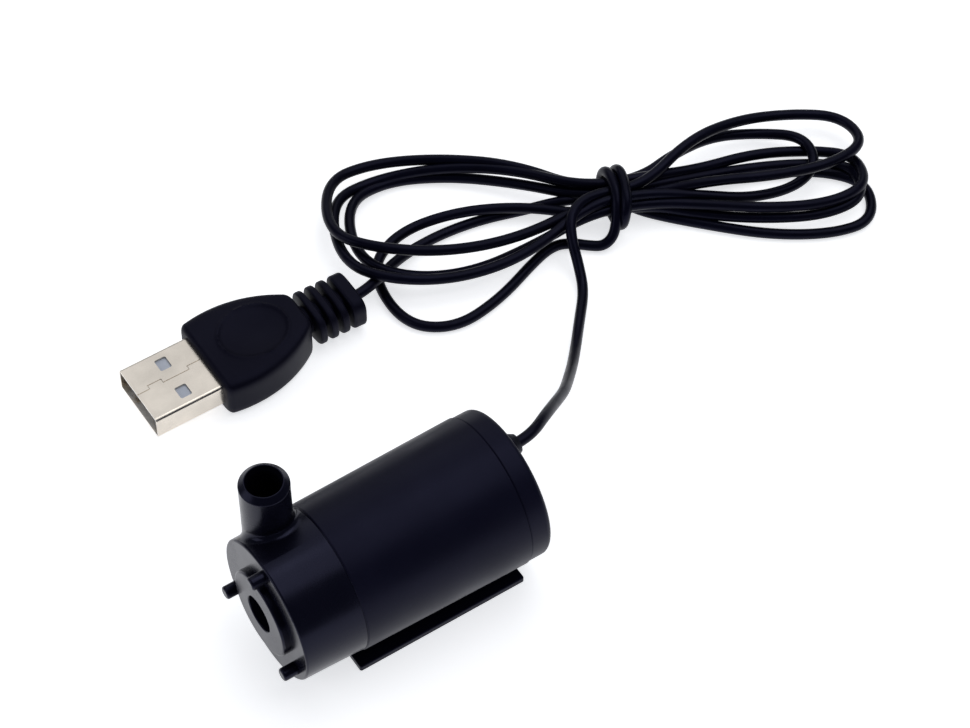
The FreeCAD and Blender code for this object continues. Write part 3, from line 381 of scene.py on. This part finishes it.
def make_finishes():
    return {
        "housing_plastic": moulded("satin_black_abs", (0.0036, 0.0036, 0.0108), 0.38, 3800,
                                   (0.0056, 0.0056, 0.0150), reflects=0.44, index=LOW_INDEX),
        "head_plastic": moulded("semi_gloss_black_abs", (0.0020, 0.0020, 0.0056), 0.25, 3000,
                                (0.0034, 0.0034, 0.0084), 4, reflects=0.74, index=LOW_INDEX),
        "plug_pvc": moulded("matt_black_pvc", (0.0030, 0.0028, 0.0072), 0.48, 2600,
                            (0.0050, 0.0048, 0.0110), 9, reflects=0.36, index=LOW_INDEX),
        "soft_pvc": moulded("gland_pvc", (0.0024, 0.0025, 0.0040), 0.42, 2400,
                            (0.0045, 0.0045, 0.0065), 8, reflects=0.6, index=LOW_INDEX),
        "impeller_plastic": moulded("impeller_pom", (0.70, 0.71, 0.70), 0.34, 2200,
                                    (0.60, 0.61, 0.60)),
        "white_nylon": moulded("end_bell_nylon", (0.74, 0.73, 0.69), 0.42, 2400,
                               (0.64, 0.63, 0.58)),
        "brown_phenolic": moulded("commutator_phenolic", (0.085, 0.036, 0.018), 0.44, 2600,
                                  (0.055, 0.024, 0.013)),
        "tongue_plastic": moulded("tongue_pbt", (0.62, 0.66, 0.72), 0.36, 2400,
                                  (0.52, 0.57, 0.65)),
        "inner_mould": moulded("inner_polyethylene", (0.58, 0.59, 0.58), 0.5, 1600,
                               (0.46, 0.47, 0.46), 12),
        "seal_rubber": porous("nitrile_rubber", (0.012, 0.012, 0.012), (0.022, 0.022, 0.021),
                              0.62, 0.0, 3200, 8),
        "epoxy": porous("potting_epoxy", (0.020, 0.019, 0.017), (0.045, 0.040, 0.034),
                        0.3, 0.0, 900, 30),
        "ferrite": porous("sintered_ferrite", (0.040, 0.040, 0.043), (0.075, 0.073, 0.075),
                          0.55, 0.3, 2600, 10),
        "sintered_bronze": porous("oilite_bronze", (0.50, 0.31, 0.15), (0.36, 0.20, 0.09),
                                  0.42, 1.0, 4200, 8),
        "cable_jacket": cable_jacket("black_cable_pvc", (0.0016, 0.0016, 0.0052), 0.33),
        "black_wire": cable_jacket("black_wire_pvc", (0.012, 0.012, 0.013), 0.4),
        "red_wire": cable_jacket("red_wire_pvc", (0.42, 0.014, 0.012), 0.4),
        "nickel_shell": metal("nickel_plated_shell", (0.76, 0.70, 0.62), 0.24, (0.05, 1, 1), 4),
        "bright_steel": metal("ground_shaft_steel", (0.66, 0.66, 0.67), 0.22, (1, 0.1, 0.1)),
        "zinc_steel": metal("zinc_plated_can", (0.58, 0.60, 0.63), 0.34, (0.08, 1, 1), 5),
        "spring_copper": metal("brush_copper", (0.74, 0.42, 0.25), 0.3, (1, 0.1, 1)),
        "bare_copper": metal("commutator_copper", (0.76, 0.41, 0.26), 0.28, (1, 0.1, 0.1)),
        "tinned_brass": metal("terminal_tin", (0.69, 0.67, 0.60), 0.36, (0.1, 1, 1)),
        "gold_contacts": metal("gold_plated_contacts", (0.86, 0.62, 0.27), 0.25, (0.1, 1, 1)),
        "core_steel": banded("stacked_core_steel", (0.32, 0.32, 0.34), (0.22, 0.21, 0.21),
                             0.42, 1.0, "X", 0.0005, 40),
        "enamelled_copper": banded("enamelled_winding", (0.52, 0.17, 0.06), (0.40, 0.11, 0.04),
                                   0.3, 0.6, "DIAGONAL", 0.0003, 90),
    }


FINISHES = make_finishes()


def paint(piece, name):
    """Give a piece that finish, on the object rather than on its shared mesh or curve."""
    if not piece.data.materials:
        piece.data.materials.append(None)
    for slot in piece.material_slots:
        slot.link = "OBJECT"
        slot.material = FINISHES[name].material


def paint_nodes():
    """Every CAD node takes the finish of the record's slot that it carries."""
    for node in NODES.values():
        paint(node, node.material_slots[0].material.name.split(".")[0])


paint_nodes()
paint(power_lead, "cable_jacket")

# ---------------------------------------------------------------------------
# The plug's moulded grip with its ribbed relief
# ---------------------------------------------------------------------------

GRIP_LOW, GRIP_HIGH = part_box("plug_overmould")
GRIP_FRONT = GRIP_LOW[0]
GRIP_MIDDLE = Vector((0, (GRIP_LOW[1] + GRIP_HIGH[1]) / 2, (GRIP_LOW[2] + GRIP_HIGH[2]) / 2))
GRIP_HALF_HEIGHT = (GRIP_HIGH[2] - GRIP_LOW[2]) / 2
GRIP_LENGTH = 0.0180                 # without the relief
GRIP_WIDEST = (GRIP_HIGH[1] - GRIP_LOW[1]) / 2      # half its width, where it is widest
GRIP_WIDEST_AT = 0.0050
GRIP_SIDE_RADIUS = 0.0200            # of the bowed sides, in plan
GRIP_ROUND = 0.0009                  # of the edges at both ends
GRIP_SQUARENESS = 7
GRIP_STEPS = 84                      # sections along the grip
GRIP_SPACING = 2.6                   # towards 2, the sections crowd more at both ends
UPPER_FACE = 0.6                     # the dish is pressed above this share of the half height
AROUND = 168                         # points round each section
SHARP_ANGLE = math.radians(38)

DISH_AT = 0.0092
DISH_RADIUS = (0.0057, 0.0050)       # along, across
DISH_DEPTH = 0.00042
DISH_FULLNESS = 0.7                  # 1 is a paraboloid, less is flatter at the bottom
DISH_RIM = 0.00020                   # height of the fine rim
DISH_RIM_AT, DISH_RIM_WIDTH = 1.03, 0.05            # in shares of the dish's radius

# Sections of the relief: half width, half height, squareness
CORE_SECTION = (0.0024, 0.0022, 2.2)
RIB_SECTION = (0.0047, 0.0034, 2.9)
BLOCK_SECTION = (0.0045, 0.0033, 3.6)
CORE_FROM = 0.0001                   # behind the grip
CORE_GAP = 0.00008                   # between a rib's side and the core's last section
RIBS = 3
FIRST_RIB = 0.00155                  # middle of the first rib, behind the grip
RIB_PITCH = 0.00208
RIB_HALF = 0.00062                   # half a rib's thickness
RIB_ROUND = 0.00035
BLOCK_EXTRA = 0.0005                 # the end block's middle is a pitch and this behind the last rib
BLOCK_HALF = 0.0012
BLOCK_ROUND = 0.0005
EDGE_STEPS = 8                       # sections in half a rib
EDGE_SHARE = 0.9                     # how much of a rib's edge rounding is taken
RELIEF_BEND = 3.0                    # metres sideways, times the square of the metres behind the grip


def section(half_width, half_height, squareness):
    """Points round a super-ellipse, evenly turned about its middle."""
    points = []
    for step in range(AROUND):
        turn = 2 * math.pi * step / AROUND
        across, up = math.cos(turn), math.sin(turn)
        size = abs(across / half_width) ** squareness + abs(up / half_height) ** squareness
        reach = size ** (-1 / squareness)
        points.append((across * reach, up * reach))
    return points


def rounded_end(distance, radius):
    """How far an edge rounded by that radius has drawn in, at a distance from the end."""
    if distance >= radius:
        return 0.0
    return radius - math.sqrt(max(0.0, radius ** 2 - (radius - distance) ** 2))


def dish_drop(along, across):
    """How far the upper face sinks in the thumb dish, less the fine rim around it."""
    out = math.hypot((along - DISH_AT) / DISH_RADIUS[0], across / DISH_RADIUS[1])
    rim = DISH_RIM * math.exp(-((out - DISH_RIM_AT) / DISH_RIM_WIDTH) ** 2)
    hollow = DISH_DEPTH * (1 - out ** 2) ** DISH_FULLNESS if out < 1 else 0.0
    return hollow - rim


def grip_stations():
    """Distances along the grip, each with its section."""
    stations = []
    for step in range(GRIP_STEPS + 1):
        share = step / GRIP_STEPS
        along = GRIP_LENGTH * (share - math.sin(2 * math.pi * share) / (GRIP_SPACING * math.pi))
        drawn = rounded_end(min(along, GRIP_LENGTH - along), GRIP_ROUND)
        off = along - GRIP_WIDEST_AT
        half = GRIP_WIDEST - GRIP_SIDE_RADIUS + math.sqrt(GRIP_SIDE_RADIUS ** 2 - off ** 2)
        stations.append((along, half - drawn, GRIP_HALF_HEIGHT - drawn, GRIP_SQUARENESS))
    return stations


def relief_stations():
    """The core between rounded ribs, then the end block."""
    first = GRIP_LENGTH + FIRST_RIB
    parts = [(first + number * RIB_PITCH, RIB_HALF, RIB_ROUND, RIB_SECTION) for number in range(RIBS)]
    parts.append((first + RIBS * RIB_PITCH + BLOCK_EXTRA, BLOCK_HALF, BLOCK_ROUND, BLOCK_SECTION))
    stations = [(GRIP_LENGTH + CORE_FROM, *CORE_SECTION)]
    for middle, half, edge, (wide, high, squareness) in parts:
        stations.append((middle - half - CORE_GAP, *CORE_SECTION))
        for step in range(-EDGE_STEPS, EDGE_STEPS + 1):
            at = half * math.sin(math.pi * step / (2 * EDGE_STEPS))
            drawn = rounded_end(half - abs(at), edge) * EDGE_SHARE
            stations.append((middle + at, wide - drawn, high - drawn, squareness))
        stations.append((middle + half + CORE_GAP, *CORE_SECTION))
    return stations[:-1]                # the end block closes the relief


def relief_bend(along):
    """The relief bends a little towards -Y behind the grip."""
    past = max(0.0, along - GRIP_LENGTH)
    return -RELIEF_BEND * past ** 2


def make_grip():
    """The grip and its relief as one closed skin, lofted through their sections."""
    mesh = bmesh.new()
    rings = []
    for along, wide, high, squareness in grip_stations() + relief_stations():
        ring = []
        for across, up in section(wide, high, squareness):
            if up > UPPER_FACE * GRIP_HALF_HEIGHT and along < GRIP_LENGTH:
                up -= dish_drop(along, across)
            sideways = GRIP_MIDDLE.y + across + relief_bend(along)
            ring.append(mesh.verts.new((GRIP_FRONT + along, sideways, GRIP_MIDDLE.z + up)))
        rings.append(ring)
    for before, after in zip(rings, rings[1:]):
        for step in range(AROUND):
            mesh.faces.new((before[step], before[step - 1], after[step - 1], after[step]))
    mesh.faces.new(rings[0])
    mesh.faces.new(reversed(rings[-1]))
    bmesh.ops.recalc_face_normals(mesh, faces=mesh.faces)
    data = bpy.data.meshes.new("plug_grip")
    mesh.to_mesh(data)
    mesh.free()
    data.shade_smooth()
    data.set_sharp_from_angle(angle=SHARP_ANGLE)
    grip = bpy.data.objects.new("plug_grip", data)
    bpy.context.collection.objects.link(grip)
    return grip


plug_grip = make_grip()
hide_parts("plug_overmould")
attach(plug_grip, "pump")
paint(plug_grip, "plug_pvc")

# ---------------------------------------------------------------------------
# Floor and light
# ---------------------------------------------------------------------------

FLOOR_HALF = 3.0
FLOOR_WHITE = (0.90, 0.90, 0.90)
FLOOR_SHADE = (0.88, 0.88, 0.885)
FLOOR_GLOW = 0.70        # the white sheet is lit from below as well
GLOW_COLOUR = (0.97, 0.98, 1.0, 1)
SKY_COLOUR = (0.80, 0.86, 1.0, 1)
SKY_STRENGTH = 0.14

# Square lights aimed at the object: name, place, side, watts
SOFTBOXES = (
    ("overhead_back", (0.42, 0.78, 1.12), 1.5, 5.6),
    ("overhead", (0.48, -0.16, 1.22), 1.0, 4.4),
    ("side_left", (-1.10, 0.35, 0.60), 0.8, 2.5),
)


def make_floor():
    corners = [(-FLOOR_HALF, -FLOOR_HALF, 0), (FLOOR_HALF, -FLOOR_HALF, 0),
               (FLOOR_HALF, FLOOR_HALF, 0), (-FLOOR_HALF, FLOOR_HALF, 0)]
    mesh = bpy.data.meshes.new("floor")
    mesh.from_pydata(corners, [], [(0, 1, 2, 3)])
    floor = bpy.data.objects.new("floor", mesh)
    bpy.context.collection.objects.link(floor)
    finish = Finish("pale_floor", FLOOR_WHITE, 0.75)
    finish.tint(finish.noise(3, detail=2), FLOOR_SHADE)
    finish.set(Emission_Color=GLOW_COLOUR, Emission_Strength=FLOOR_GLOW)
    floor.data.materials.append(finish.material)


def make_softbox(name, place, side, watts):
    data = bpy.data.lights.new(name, "AREA")
    data.shape = "SQUARE"
    data.size = side
    data.energy = watts
    light = bpy.data.objects.new(name, data)
    light.location = place
    light.rotation_euler = (LOOKS_AT - Vector(place)).to_track_quat("-Z", "Y").to_euler()
    bpy.context.collection.objects.link(light)


def make_studio():
    world = bpy.data.worlds.new("studio")
    world.use_nodes = True
    background = world.node_tree.nodes["Background"]
    background.inputs["Color"].default_value = SKY_COLOUR
    background.inputs["Strength"].default_value = SKY_STRENGTH
    bpy.context.scene.world = world
    for softbox in SOFTBOXES:
        make_softbox(*softbox)
    bpy.context.scene.view_settings.view_transform = "Standard"


make_floor()
make_studio()

bpy.context.view_layer.update()
